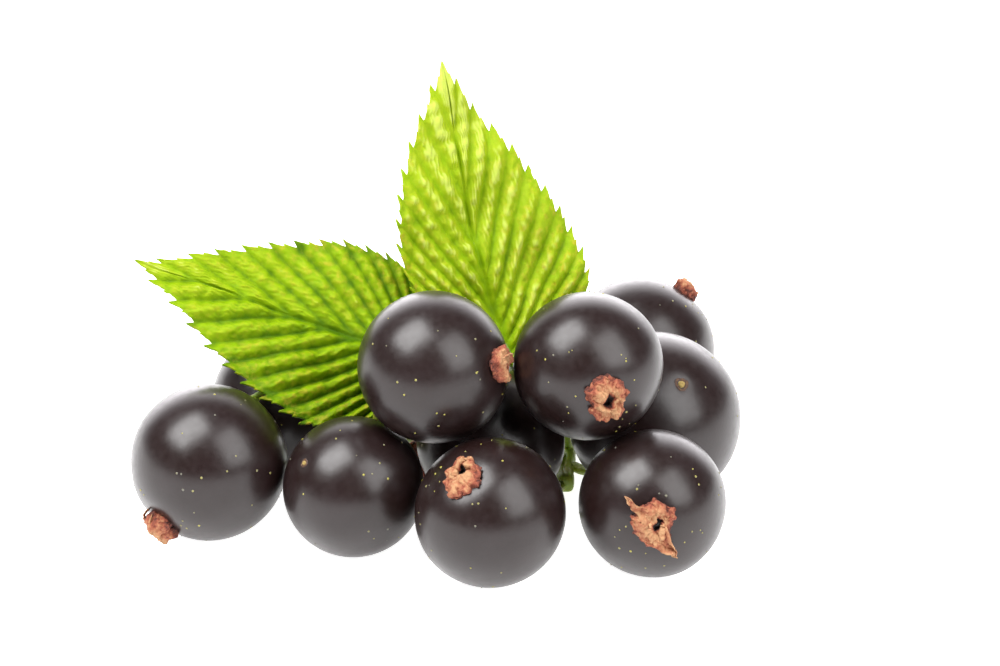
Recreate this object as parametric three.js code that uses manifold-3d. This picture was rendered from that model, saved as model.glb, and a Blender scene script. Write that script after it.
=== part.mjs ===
// A sprig of blackcurrants, as picked, lying on a table: a short woody spur that carries two young leaves and two
// fruit stalks (strigs), eight berries on the strigs, and two that have dropped off and lie among them.
// Millimetres, +Z up. +X runs along the front row of berries, +Y away from it, and the table is Z = 0.
import * as THREE from "three";
import { mergeVertices } from "three/addons/utils/BufferGeometryUtils.js";
import Module from "manifold-3d";

const wasm = await Module();
wasm.setup();

// ---- Driving dimensions ----------------------------------------------------------------------------------------
const berryDiameter = 12; // of a berry whose size is 1
const contactGap = 0.2; // between two berries that touch
const restSag = 0.1; // how far a berry flattens where it lies on the table
const seatRadius = 1.0; // flat that the dried flower grows on

const calyxRadius = 1.7; // the dried flower at a berry's end, to the tips of its lobes
const calyxNeckRadius = 0.9;
const calyxLength = 1.6;
const calyxHollow = 0.7; // depth of the cup between its lobes
const calyxLobes = 5;
const lobeCut = 0.3; // how far the rim is cut in between lobes, as a share of its radius

const spurDiameter = 3.0; // the woody stem that the rest grows from
const spurLength = 14;
const spurTurn = THREE.MathUtils.degToRad(20); // from the line of the front row
const strigDiameter = 1.4; // a fruit stalk
const pedicelDiameter = 0.7; // the short stalk of one berry
const petioleDiameter = 1.1; // the stalk of a leaf
const joinGap = 0.35; // between the end of a stalk and what it grows from

const leafThickness = 0.3;
const toothDepth = 0.45; // of the saw teeth along a leaf's margin
const leafCup = 0.8; // how far the margins stand above the midrib
const leafEndHalfWidth = 0.35; // where the blade meets its stalk, and at its tip

// ---- Materials -------------------------------------------------------------------------------------------------
const skin = new THREE.MeshStandardMaterial({ color: 0x2a2224, roughness: 0.35 });
const driedFlower = new THREE.MeshStandardMaterial({ color: 0xa5653f, roughness: 0.9 });
const greenStalk = new THREE.MeshStandardMaterial({ color: 0x7d9a2e, roughness: 0.6 });
const bark = new THREE.MeshStandardMaterial({ color: 0x6f5a43, roughness: 0.9 });
const leafGreen = new THREE.MeshStandardMaterial({ color: 0x9cc41c, roughness: 0.55 });

// ---- Places ----------------------------------------------------------------------------------------------------
// Every place is given in berry diameters, so that the bunch keeps its form when the berries change size.
const place = (x, y, z = 0) => new THREE.Vector3(x, y, z).multiplyScalar(berryDiameter);
const towards = (x, y, z) => new THREE.Vector3(x, y, z).normalize();

// calyx and stalk point from a berry's middle to its dried flower and to the scar or stalk at its other end.
const berries = [
  { name: "front", x: 0, y: 0, size: 0.99, calyx: [-0.36, -0.51, 0.78], stalk: [0.4, 0.75, -0.52], flower: 0.8 },
  { name: "front_right", x: 1.07, y: 0.15, size: 0.98, calyx: [-0.01, -0.98, 0.19], stalk: [-0.35, 0.85, -0.4] },
  { name: "front_left", x: -0.91, y: 0.43, size: 0.94, calyx: [0.62, 0.62, -0.48], stalk: [-0.69, -0.42, 0.59],
    flower: 0.8 },
  { name: "left", x: -1.89, y: 0.69, size: 1.05, calyx: [-0.64, -0.55, -0.54], stalk: [0.5, 0.75, 0.43] },
  { name: "centre", x: 0, y: 1.07, size: 1, calyx: [-0.8, 0.3, -0.52], stalk: [0.75, 0.55, -0.36], flower: 0.8 },
  { name: "right", x: 1.11, y: 1.25, size: 1.17, calyx: [-0.3, 0.8, -0.52], stalk: [0.29, -0.62, 0.73] },
  { name: "back_left", x: -1.4, y: 1.64, size: 1.02, calyx: [-0.45, 0.8, 0.4], stalk: [0.45, -0.8, -0.4] },
  { name: "back_right", x: 1.04, y: 2.44, size: 1.04, calyx: [0.59, 0.34, 0.73], stalk: [-0.65, -0.5, -0.57] },
  { name: "top_left", x: -0.375, y: 0.55, size: 1.01, calyx: [0.855, -0.47, 0.22], stalk: [-0.75, 0.62, -0.2],
    flower: 0.55, onTop: true },
  { name: "top_right", x: 0.645, y: 0.55, size: 0.99, calyx: [0.23, -0.97, 0.01], stalk: [-0.23, 0.97, -0.01],
    onTop: true },
];

// How far below a berry's middle its dried flower reaches.
function flowerReach(berry) {
  const length = seatHeight(berry) + contactGap + calyxLength * berry.flower;
  const slope = Math.sqrt(1 - berry.calyx.z ** 2);
  return -berry.calyx.z * length + slope * calyxRadius * berry.flower;
}

// The height at which a berry let down at its place comes to rest: on the table, on its dried flower, or on others.
function restHeight(berry, below) {
  const touching = below.map((other) => {
    const reach = berry.radius + other.radius + contactGap;
    const apart = Math.hypot(berry.centre.x - other.centre.x, berry.centre.y - other.centre.y);
    return apart < reach ? other.centre.z + Math.sqrt(reach ** 2 - apart ** 2) : 0;
  });
  return Math.max(berry.radius - restSag, flowerReach(berry), ...touching);
}

const seatHeight = (berry) => Math.sqrt(berry.radius ** 2 - seatRadius ** 2);

for (const berry of berries) {
  berry.flower ??= 1;
  berry.radius = (berryDiameter * berry.size) / 2;
  berry.calyx = towards(...berry.calyx);
  berry.stalk = towards(...berry.stalk);
  berry.centre = place(berry.x, berry.y);
  const below = berry.onTop ? berries.filter((other) => !other.onTop) : [];
  berry.centre.z = restHeight(berry, below);
}
const berryNamed = (name) => berries.find((berry) => berry.name === name);

// ---- Solids ----------------------------------------------------------------------------------------------------
function solidOf(geometry) {
  const bare = geometry.clone();
  bare.deleteAttribute("normal");
  bare.deleteAttribute("uv");
  const merged = mergeVertices(bare, 1e-4);
  return new wasm.Manifold(
    new wasm.Mesh({ numProp: 3, vertProperties: merged.attributes.position.array, triVerts: merged.index.array }),
  );
}

function geometryOf(solid) {
  const mesh = solid.getMesh();
  return new THREE.BufferGeometry()
    .setAttribute("position", new THREE.BufferAttribute(mesh.vertProperties, 3))
    .setIndex(new THREE.BufferAttribute(mesh.triVerts, 1));
}

function named(name, geometry, material) {
  const mesh = new THREE.Mesh(geometry, material);
  mesh.name = name;
  return mesh;
}

const latheAxis = new THREE.Vector3(0, 1, 0);
const turnedTo = (direction) => new THREE.Quaternion().setFromUnitVectors(latheAxis, direction);

// A ball with the flat seat of its dried flower at +Y.
function ballGeometry(berry) {
  const rings = 12;
  const seatAngle = Math.asin(seatRadius / berry.radius);
  const outline = [new THREE.Vector2(0, seatHeight(berry))];
  for (let ring = 0; ring < rings; ring++) {
    const angle = seatAngle + ((Math.PI - seatAngle) * ring) / rings;
    outline.push(new THREE.Vector2(berry.radius * Math.sin(angle), berry.radius * Math.cos(angle)));
  }
  outline.push(new THREE.Vector2(0, -berry.radius));
  return new THREE.LatheGeometry(outline.reverse(), 20);
}

// A berry on the table is cut level with the table's face.
function berryMesh(berry) {
  const mesh = named(`berry_${berry.name}`, ballGeometry(berry), skin);
  mesh.position.copy(berry.centre);
  mesh.quaternion.copy(turnedTo(berry.calyx));
  if (!berry.onTop) {
    const table = new THREE.BoxGeometry(berryDiameter, berryDiameter, berryDiameter);
    table.translate(0, 0, -berryDiameter / 2 - berry.centre.z);
    table.applyQuaternion(mesh.quaternion.clone().invert());
    mesh.geometry = geometryOf(solidOf(mesh.geometry).subtract(solidOf(table)));
  }
  return mesh;
}

// The dried flower: a neck that opens into a shallow cup with five lobes.
function calyxMesh(berry) {
  const outline = [
    [0, 0],
    [calyxNeckRadius, 0],
    [calyxNeckRadius, 0.3 * calyxLength],
    [calyxRadius, calyxLength],
    [0.6 * calyxRadius, calyxLength],
    [0, calyxLength - calyxHollow],
  ];
  const geometry = new THREE.LatheGeometry(
    outline.map(([radius, height]) => new THREE.Vector2(radius, height)),
    4 * calyxLobes,
  );
  const at = geometry.attributes.position;
  for (let i = 0; i < at.count; i++) {
    const round = Math.atan2(at.getZ(i), at.getX(i));
    const cut = lobeCut * (at.getY(i) / calyxLength) * (0.5 - 0.5 * Math.cos(calyxLobes * round));
    at.setXYZ(i, at.getX(i) * (1 - cut), at.getY(i), at.getZ(i) * (1 - cut));
  }
  geometry.scale(berry.flower, berry.flower, berry.flower);
  const mesh = named(`calyx_${berry.name}`, geometry, driedFlower);
  mesh.position.copy(berry.centre).addScaledVector(berry.calyx, seatHeight(berry) + contactGap);
  mesh.quaternion.copy(turnedTo(berry.calyx));
  return mesh;
}

const smooth = (points) => new THREE.CatmullRomCurve3(points, false, "centripetal");

function stalkMesh(name, curve, diameter, steps, material = greenStalk) {
  const section = new THREE.Shape().absarc(0, 0, diameter / 2, 0, 2 * Math.PI);
  const geometry = new THREE.ExtrudeGeometry(section, {
    steps,
    extrudePath: curve,
    bevelEnabled: false,
    curveSegments: 5,
  });
  return named(name, geometry, material);
}

// The point where a stalk that grows from the side of another one starts.
function sideOf(parent, share, side, parentDiameter) {
  return parent.getPointAt(share).addScaledVector(side, parentDiameter / 2 + joinGap);
}

// ---- Spur and strigs -------------------------------------------------------------------------------------------
const onTable = (x, y, diameter) => place(x, y).setZ(diameter / 2);

const spurTip = onTable(0.3, 2.02, spurDiameter);
const spurCut = spurTip
  .clone()
  .add(new THREE.Vector3(-Math.cos(spurTurn), Math.sin(spurTurn), 0).multiplyScalar(spurLength));
const spur = smooth([
  spurCut,
  spurCut.clone().lerp(spurTip, 0.5).add({ x: 0, y: -0.1 * spurDiameter, z: 0 }),
  spurTip,
]);

// The right strig leaves the spur's tip and runs forwards on the table between the berries.
const strigRight = smooth([
  spurTip.clone().addScaledVector(spur.getTangentAt(1), joinGap),
  onTable(0.48, 1.95, strigDiameter * 1.5),
  onTable(0.525, 1.79, strigDiameter),
  onTable(0.515, 1.54, strigDiameter),
  onTable(0.5, 1.32, strigDiameter),
]);

// The left strig leaves the side of the spur and climbs forwards between the berries.
const strigLeft = smooth([
  sideOf(spur, 0.42, towards(-0.25, -0.95, 0.15), spurDiameter),
  place(-0.46, 1.83, 0.18),
  place(-0.62, 1.46, 0.3),
  place(-0.75, 1.13, 0.4),
  place(-0.79, 1.02, 0.43),
]);

// ---- Pedicels --------------------------------------------------------------------------------------------------
// Each runs from its berry's stalk end, through its bends, to a share of the way along its strig, on one side.
const pedicels = [
  { berry: "front", strig: strigRight, share: 0.97, side: [-0.3, -0.95, 0], bends: [[0.38, 0.8, 0.05]] },
  { berry: "front_right", strig: strigRight, share: 0.76, side: [1, -0.3, 0.05], bends: [[0.72, 1.05, 0.1]] },
  { berry: "centre", strig: strigRight, share: 0.66, side: [-0.5, -0.2, 0.9], bends: [] },
  { berry: "top_right", strig: strigRight, share: 0.5, side: [0, 0.2, 1],
    bends: [[0.515, 1.29, 0.92], [0.47, 1.46, 0.5]] },
  { berry: "back_right", strig: strigRight, share: 0.25, side: [0.8, 0.55, 0.2], bends: [] },
  { berry: "left", strig: strigLeft, share: 0.8, side: [-0.5, 0.3, 0.8],
    bends: [[-1.46, 1.165, 0.82], [-1.2, 1.18, 0.8], [-0.95, 1.19, 0.68]] },
  { berry: "back_left", strig: strigLeft, share: 0.9, side: [-0.95, 0.2, -0.2], bends: [[-0.98, 1.1, 0.34]] },
  { berry: "top_left", strig: strigLeft, share: 1, side: [0.1, -0.5, 0.75],
    bends: [[-0.76, 0.87, 0.86], [-0.765, 0.88, 0.7]] },
];

function pedicelMesh({ berry: name, strig, share, side, bends }) {
  const berry = berryNamed(name);
  const lead = 1.2 * pedicelDiameter; // straight part at each end
  const outward = towards(...side);
  const start = berry.centre.clone().addScaledVector(berry.stalk, berry.radius + joinGap);
  const end = sideOf(strig, share, outward, strigDiameter);
  const curve = smooth([
    start,
    start.clone().addScaledVector(berry.stalk, lead),
    ...bends.map((bend) => place(...bend)),
    end.clone().addScaledVector(outward, lead),
    end,
  ]);
  return stalkMesh(`pedicel_${name}`, curve, pedicelDiameter, 16);
}

// ---- Leaves ----------------------------------------------------------------------------------------------------
// A blade runs from its base along aim, and its upper face looks along facing. Its stalk leaves the spur on one side,
// goes through its bends and comes to the base from the direction of meets.
const leaves = [
  { name: "left", length: 24.4, width: 15.8, teeth: 13,
    base: place(-0.43, 1.333, 0.94), aim: towards(-0.94, 0.135, 0.312), facing: towards(0, -0.707, 0.707),
    share: 0.78, side: towards(-0.2, -0.1, 1), meets: towards(0.94, -0.135, -0.312),
    bends: [[-0.2, 1.85, 0.6], [-0.19, 1.5, 0.9]] },
  { name: "upper", length: 24.8, width: 15.6, teeth: 12,
    base: place(0.183, 1.458, 0.867), aim: towards(-0.237, 0.408, 0.882), facing: towards(0.3, -0.87, 0.4),
    share: 0.93, side: towards(0.1, 0, 1), meets: towards(-0.15, 0.88, -0.44),
    bends: [[0.13, 1.83, 0.5]] },
];

// Half the width of a blade of half-width 1 at a share of its length: rounded below, drawn out to a point above.
function bladeHalfWidth(share) {
  const rise = 0.5;
  const fall = 1.2;
  const widest = rise / (rise + fall);
  return (share ** rise * (1 - share) ** fall) / (widest ** rise * (1 - widest) ** fall);
}

// A blade along +X with its upper face to +Z: an upper and a lower grid of points, joined around the margin.
function bladeGeometry({ length, width, teeth }) {
  const columns = 2 * teeth;
  const rows = 8;
  const points = [];
  for (const face of [1, -1]) {
    for (let column = 0; column <= columns; column++) {
      const along = column / columns;
      const notch = column % 2 === 1 ? toothDepth : 0;
      const half = Math.max((width / 2) * bladeHalfWidth(along) - notch, leafEndHalfWidth);
      for (let row = 0; row <= rows; row++) {
        const across = (2 * row) / rows - 1;
        const lift = leafCup * across ** 2 * Math.sin(Math.PI * along);
        points.push(along * length, across * half, lift + (face * leafThickness) / 2);
      }
    }
  }
  const perFace = (columns + 1) * (rows + 1);
  const index = (column, row) => column * (rows + 1) + row;
  const faces = [];
  for (let column = 0; column < columns; column++) {
    for (let row = 0; row < rows; row++) {
      const [a, b] = [index(column, row), index(column + 1, row)];
      const [c, d] = [index(column + 1, row + 1), index(column, row + 1)];
      faces.push(a, b, c, a, c, d);
      faces.push(perFace + a, perFace + c, perFace + b, perFace + a, perFace + d, perFace + c);
    }
  }
  const margin = [];
  for (let column = 0; column < columns; column++) margin.push(index(column, 0));
  for (let row = 0; row < rows; row++) margin.push(index(columns, row));
  for (let column = columns; column > 0; column--) margin.push(index(column, rows));
  for (let row = rows; row > 0; row--) margin.push(index(0, row));
  margin.forEach((from, i) => {
    const to = margin[(i + 1) % margin.length];
    faces.push(from, perFace + from, perFace + to, from, perFace + to, to);
  });
  return new THREE.BufferGeometry()
    .setAttribute("position", new THREE.Float32BufferAttribute(points, 3))
    .setIndex(faces);
}

function bladeMesh(leaf) {
  const mesh = named(`leaf_${leaf.name}`, bladeGeometry(leaf), leafGreen);
  const across = leaf.facing.clone().cross(leaf.aim).normalize();
  const upper = leaf.aim.clone().cross(across);
  mesh.quaternion.setFromRotationMatrix(new THREE.Matrix4().makeBasis(leaf.aim, across, upper));
  mesh.position.copy(leaf.base);
  return mesh;
}

function petioleMesh({ name, base, share, side, meets, bends }) {
  const curve = smooth([
    sideOf(spur, share, side, spurDiameter),
    ...bends.map((bend) => place(...bend)),
    base.clone().addScaledVector(meets, joinGap + petioleDiameter),
    base.clone().addScaledVector(meets, joinGap),
  ]);
  return stalkMesh(`petiole_${name}`, curve, petioleDiameter, 18);
}

// ---- The sprig, moved so that the middle of its footprint is the origin ----------------------------------------
const sprig = new THREE.Group();
sprig.name = "blackcurrant_sprig";
sprig.add(
  ...berries.map(berryMesh),
  ...berries.map(calyxMesh),
  stalkMesh("spur", spur, spurDiameter, 12, bark),
  stalkMesh("strig_right", strigRight, strigDiameter, 20),
  stalkMesh("strig_left", strigLeft, strigDiameter, 20),
  ...pedicels.map(pedicelMesh),
  ...leaves.map(petioleMesh),
  ...leaves.map(bladeMesh),
);
const footprint = new THREE.Box3().setFromObject(sprig, true).getCenter(new THREE.Vector3());
sprig.position.set(-footprint.x, -footprint.y, 0);

export default sprig;
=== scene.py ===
"""A sprig of blackcurrants on a pale table: the looks of its CAD nodes, the light and the camera.

Metres, in the CAD frame: +X along the front row of berries, +Y to the back, +Z up, the table at Z = 0.
"""

import math

import bpy
import numpy as np
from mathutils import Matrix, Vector


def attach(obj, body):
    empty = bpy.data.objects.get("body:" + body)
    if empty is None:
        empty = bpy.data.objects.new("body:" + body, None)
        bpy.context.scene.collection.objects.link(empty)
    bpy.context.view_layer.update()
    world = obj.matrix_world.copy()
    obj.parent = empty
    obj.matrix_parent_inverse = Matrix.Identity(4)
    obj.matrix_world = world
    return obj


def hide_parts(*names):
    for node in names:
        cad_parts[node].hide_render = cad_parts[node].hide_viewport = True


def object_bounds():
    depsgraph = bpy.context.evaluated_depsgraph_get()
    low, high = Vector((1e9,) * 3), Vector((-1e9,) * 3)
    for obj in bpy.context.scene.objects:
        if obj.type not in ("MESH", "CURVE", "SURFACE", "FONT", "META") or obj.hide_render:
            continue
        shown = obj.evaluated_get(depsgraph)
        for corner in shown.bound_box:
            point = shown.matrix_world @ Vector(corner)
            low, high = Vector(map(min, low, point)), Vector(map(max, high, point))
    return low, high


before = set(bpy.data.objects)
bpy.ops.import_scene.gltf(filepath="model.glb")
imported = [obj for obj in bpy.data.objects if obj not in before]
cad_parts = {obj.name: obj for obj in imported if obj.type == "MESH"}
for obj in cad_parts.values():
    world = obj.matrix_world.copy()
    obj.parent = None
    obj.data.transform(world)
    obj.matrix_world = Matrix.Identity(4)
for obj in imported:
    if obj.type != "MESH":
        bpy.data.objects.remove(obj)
cad_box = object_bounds()

MM = 0.001
BODY = "root"
scene = bpy.context.scene


# ---- Small helpers -------------------------------------------------------------------------------
def unit(vector):
    vector = np.asarray(vector, dtype=float)
    return vector / np.linalg.norm(vector)


def across_pair(axis):
    """Two unit vectors at right angles to axis and to each other."""
    axis = unit(axis)
    helper = np.array([0.0, 0.0, 1.0]) if abs(axis[2]) < 0.9 else np.array([1.0, 0.0, 0.0])
    first = unit(np.cross(helper, axis))
    return first, np.cross(axis, first)


def smoothstep(low, high, value):
    share = np.clip((value - low) / (high - low), 0.0, 1.0)
    return share * share * (3.0 - 2.0 * share)


def node_points(node):
    """A CAD node's corner points, in metres."""
    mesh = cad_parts[node].data
    points = np.empty(len(mesh.vertices) * 3)
    mesh.vertices.foreach_get("co", points)
    return points.reshape(-1, 3)


def ball_of(node):
    """(middle, radius) of the ball that fits a node's points best."""
    points = node_points(node)
    system = np.column_stack([2.0 * points, np.ones(len(points))])
    answer = np.linalg.lstsq(system, (points**2).sum(axis=1), rcond=None)[0]
    middle = answer[:3]
    return middle, math.sqrt(answer[3] + middle @ middle)


class Waves:
    """A smooth random field: a sum of plane waves, the same every time for the same seed."""

    def __init__(self, seed, wavelength, count=12):
        rng = np.random.default_rng(seed)
        directions = rng.normal(size=(count, 3))
        directions /= np.linalg.norm(directions, axis=1)[:, None]
        stretch = rng.uniform(0.7, 1.5, size=(count, 1))
        self.waves = directions * stretch * (2.0 * math.pi / wavelength)
        self.phases = rng.uniform(0.0, 2.0 * math.pi, size=count)
        self.scale = math.sqrt(2.0 / count)

    def __call__(self, points):
        return np.cos(points @ self.waves.T + self.phases).sum(axis=1) * self.scale


def grid_faces(rows, columns, wraps=False, first=0):
    """Quads of a grid of points laid out row by row."""
    faces = []
    for row in range(rows - 1):
        for column in range(columns if wraps else columns - 1):
            right = (column + 1) % columns
            low, high = first + row * columns, first + (row + 1) * columns
            faces.append((low + column, low + right, high + right, high + column))
    return faces


def make_piece(name, points, faces, materials, nodes=(), shades=None, face_materials=None):
    """A mesh piece that rides on the sprig and stands for nodes. shades is a number for each point."""
    mesh = bpy.data.meshes.new(name)
    mesh.from_pydata([tuple(point) for point in points], [], faces)
    for material in materials:
        mesh.materials.append(material)
    if shades is not None:
        layer = mesh.attributes.new("shade", "FLOAT", "POINT")
        layer.data.foreach_set("value", np.asarray(shades, dtype=np.float32))
    if face_materials is not None:
        mesh.polygons.foreach_set("material_index", np.asarray(face_materials, dtype=np.int32))
    mesh.polygons.foreach_set("use_smooth", np.ones(len(mesh.polygons), dtype=bool))
    mesh.update()
    piece = bpy.data.objects.new(name, mesh)
    scene.collection.objects.link(piece)
    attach(piece, BODY)
    if nodes:
        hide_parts(*nodes)
    return piece


# ---- Materials -----------------------------------------------------------------------------------
class Recipe:
    """A Principled material and the few nodes that its colour, roughness and relief are worked out with."""

    def __init__(self, name, **values):
        self.material = bpy.data.materials.new(name)
        self.material.use_nodes = True
        self.tree = self.material.node_tree
        self.shader = self.tree.nodes["Principled BSDF"]
        self.place = self.add("ShaderNodeTexCoord").outputs["Object"]
        for socket, value in values.items():
            self.shader.inputs[socket.replace("_", " ")].default_value = value

    def add(self, kind, **settings):
        node = self.tree.nodes.new(kind)
        for key, value in settings.items():
            setattr(node, key, value)
        return node

    def join(self, output, socket):
        self.tree.links.new(output, socket)

    def noise(self, size, detail=3.0, roughness=0.55):
        """Noise with features of about size metres, from 0 to 1."""
        node = self.add("ShaderNodeTexNoise")
        node.inputs["Scale"].default_value = 1.0 / size
        node.inputs["Detail"].default_value = detail
        node.inputs["Roughness"].default_value = roughness
        self.join(self.place, node.inputs["Vector"])
        return node.outputs["Fac"]

    def attribute(self, name="shade"):
        return self.add("ShaderNodeAttribute", attribute_name=name).outputs["Fac"]

    def ramp(self, source, *stops):
        """Colours or numbers at places along source."""
        node = self.add("ShaderNodeValToRGB")
        elements = node.color_ramp.elements
        while len(elements) < len(stops):
            elements.new(0.5)
        for element, (position, colour) in zip(elements, stops):
            element.position = position
            grey = isinstance(colour, (int, float))
            element.color = (colour, colour, colour, 1.0) if grey else (*colour, 1.0)
        self.join(source, node.inputs["Fac"])
        return node.outputs["Color"]

    def mix(self, share, first, second):
        """first turning to second as share goes from 0 to 1. Each is an output, a number or a colour."""
        node = self.add("ShaderNodeMix", data_type="RGBA")
        sockets = [node.inputs["Factor"], node.inputs[6], node.inputs[7]]
        for socket, value in zip(sockets, (share, first, second)):
            if isinstance(value, bpy.types.NodeSocket):
                self.join(value, socket)
            elif isinstance(value, (int, float)):
                socket.default_value = value
            else:
                socket.default_value = (*value, 1.0)
        return node.outputs[2]

    def maths(self, operation, first, second):
        node = self.add("ShaderNodeMath", operation=operation)
        for socket, value in zip(node.inputs, (first, second)):
            if isinstance(value, bpy.types.NodeSocket):
                self.join(value, socket)
            else:
                socket.default_value = value
        return node.outputs["Value"]

    def relief(self, height, depth, strength=1.0):
        """Fine relief that stands depth metres high where height is 1."""
        node = self.add("ShaderNodeBump")
        node.inputs["Distance"].default_value = depth
        node.inputs["Strength"].default_value = strength
        self.join(height, node.inputs["Height"])
        self.join(node.outputs["Normal"], self.shader.inputs["Normal"])

    def colour(self, output):
        self.join(output, self.shader.inputs["Base Color"])

    def roughness(self, output):
        self.join(output, self.shader.inputs["Roughness"])


def skin_material():
    """Ripe skin: almost black, with a faint purple-brown bloom and a fine orange-peel relief."""
    skin = Recipe("berry_skin", Specular_IOR_Level=0.38, Coat_Weight=0.08, Coat_Roughness=0.2)
    bloom = skin.ramp(skin.noise(2.6 * MM, 4.0), (0.35, 0.0), (0.75, 0.6))
    mottle = skin.noise(0.5 * MM, 4.0)
    dark = skin.mix(mottle, (0.0065, 0.0020, 0.0016), (0.0125, 0.0055, 0.0050))
    skin.colour(skin.mix(bloom, dark, (0.018, 0.0112, 0.0118)))
    skin.roughness(skin.ramp(mottle, (0.3, 0.28), (0.7, 0.37)))
    skin.relief(skin.noise(0.22 * MM, 2.0), 0.010 * MM, 0.4)
    return skin.material


def gland_material():
    """The tiny resin glands on the skin."""
    gland = Recipe("gland", Roughness=0.4)
    patches = gland.noise(0.8 * MM, 1.0)
    gland.colour(gland.ramp(patches, (0.35, (0.10, 0.095, 0.07)), (0.6, (0.26, 0.23, 0.03))))
    return gland.material


def scar_material():
    """Where a stalk has dropped off: dark brown at the ring, corky yellow in the middle."""
    scar = Recipe("stalk_scar", Roughness=0.7)
    speck = scar.maths("MULTIPLY", scar.maths("SUBTRACT", scar.noise(0.15 * MM, 3.0), 0.5), 0.6)
    scar.colour(
        scar.ramp(
            scar.maths("ADD", scar.attribute(), speck),
            (0.1, (0.02, 0.010, 0.009)),
            (0.45, (0.075, 0.032, 0.014)),
            (0.9, (0.26, 0.18, 0.045)),
        )
    )
    scar.relief(scar.noise(0.12 * MM, 3.0), 0.02 * MM, 0.5)
    return scar.material


def dried_material():
    """Withered flower: red-brown, paler and tan along its edges and tips, with painted shade, near black,
    down inside its hole and in its creases.
    """
    dried = Recipe("dried_flower", Roughness=0.85)
    grain = dried.noise(0.28 * MM, 5.0, 0.65)
    speck = dried.maths("MULTIPLY", dried.maths("SUBTRACT", grain, 0.5), 0.7)
    shade = dried.maths("ADD", dried.attribute(), speck)
    dried.colour(
        dried.ramp(
            shade,
            (0.0, (0.010, 0.004, 0.003)),
            (0.25, (0.070, 0.014, 0.007)),
            (0.5, (0.22, 0.050, 0.024)),
            (0.75, (0.31, 0.12, 0.055)),
            (1.0, (0.38, 0.20, 0.095)),
        )
    )
    dried.relief(grain, 0.12 * MM, 0.9)
    return dried.material


def stalk_material():
    """Green stalk with a little red-brown and pale specks."""
    stalk = Recipe("green_stalk", Roughness=0.5, Subsurface_Weight=0.15, Subsurface_Scale=0.4 * MM)
    tone = stalk.mix(stalk.noise(1.6 * MM, 3.0), (0.12, 0.20, 0.004), (0.22, 0.30, 0.012))
    blush = stalk.ramp(stalk.noise(3.5 * MM, 2.0), (0.45, 0.0), (0.75, 0.55))
    stalk.colour(stalk.mix(blush, tone, (0.16, 0.07, 0.02)))
    stalk.relief(stalk.noise(0.3 * MM, 4.0), 0.06 * MM, 0.6)
    return stalk.material


def bark_material():
    """Grey-brown bark with pale flecks."""
    bark = Recipe("bark", Roughness=0.85)
    grain = bark.noise(0.6 * MM, 6.0, 0.65)
    bark.colour(
        bark.ramp(
            grain,
            (0.3, (0.03, 0.018, 0.01)),
            (0.55, (0.1, 0.062, 0.036)),
            (0.75, (0.21, 0.16, 0.11)),
        )
    )
    bark.relief(grain, 0.25 * MM, 0.8)
    return bark.material


def wood_material():
    """The cut end of a woody stem, from its pith (shade 0) out to its bark (shade 1)."""
    wood = Recipe("cut_wood", Roughness=0.8)
    grain = wood.maths("MULTIPLY", wood.maths("SUBTRACT", wood.noise(0.25 * MM, 4.0), 0.5), 0.16)
    wood.colour(
        wood.ramp(
            wood.maths("ADD", wood.attribute(), grain),
            (0.12, (0.11, 0.065, 0.03)),
            (0.22, (0.28, 0.21, 0.11)),
            (0.78, (0.34, 0.27, 0.15)),
            (0.86, (0.10, 0.13, 0.03)),
            (0.93, (0.045, 0.026, 0.015)),
        )
    )
    wood.relief(wood.noise(0.12 * MM, 4.0), 0.04 * MM, 0.5)
    return wood.material


def leaf_material():
    """A young blade: deep green in the furrows along the veins and yellow-green on the pleat tops, painted
    shade and painted light over its own tone, paler towards the tip; tan where tint is high.
    """
    leaf = Recipe(
        "leaf",
        Roughness=0.55,
        Specular_IOR_Level=0.08,
        Subsurface_Weight=0.2,
        Subsurface_Scale=0.4 * MM,
    )
    leaf.shader.inputs["Subsurface Radius"].default_value = (0.8, 1.0, 0.15)
    tone_and_pleat_shade = leaf.attribute()
    blotch = leaf.noise(1.8 * MM, 3.0)
    uneven = leaf.maths("MULTIPLY", leaf.maths("SUBTRACT", blotch, 0.5), 0.5)
    # The shade attribute holds the blade's own tone and the painted light and shade of its pleats and
    # crinkles.
    green = leaf.ramp(
        leaf.maths("ADD", tone_and_pleat_shade, uneven),
        (0.0, (0.050, 0.115, 0.0002)),
        (0.42, (0.16, 0.265, 0.0005)),
        (0.8, (0.23, 0.31, 0.006)),
        (1.0, (0.34, 0.41, 0.06)),
    )
    flecks = leaf.ramp(leaf.noise(0.5 * MM, 4.0), (0.48, 0.0), (0.66, 0.9))
    tint = leaf.maths("MULTIPLY", leaf.attribute("tint"), flecks)
    leaf.colour(leaf.mix(tint, green, (0.42, 0.28, 0.03)))
    leaf.relief(leaf.noise(0.3 * MM, 5.0, 0.6), 0.10 * MM, 0.8)
    return leaf.material


def underside_material():
    """The underside of a blade and its raised veins: paler, greyer and duller than the top."""
    under = Recipe(
        "leaf_underside",
        Roughness=0.75,
        Specular_IOR_Level=0.1,
        Subsurface_Weight=0.2,
        Subsurface_Scale=0.4 * MM,
    )
    web = under.mix(under.noise(0.7 * MM, 5.0, 0.6), (0.12, 0.20, 0.03), (0.21, 0.30, 0.06))
    pale_patch = under.ramp(under.noise(3.0 * MM, 2.0), (0.4, 0.0), (0.7, 0.5))
    under.colour(under.mix(pale_patch, web, (0.26, 0.32, 0.09)))
    under.relief(under.noise(0.25 * MM, 5.0, 0.6), 0.08 * MM, 0.7)
    return under.material


SKIN = skin_material()
GLAND = gland_material()
DRIED = dried_material()
SCAR = scar_material()
STALK = stalk_material()
BARK = bark_material()
WOOD = wood_material()
LEAF = leaf_material()
UNDERSIDE = underside_material()


# ---- Berries -------------------------------------------------------------------------------------
BERRIES = ["front", "front_right", "front_left", "left", "centre", "right", "back_left", "back_right",
           "top_left", "top_right"]
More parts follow.
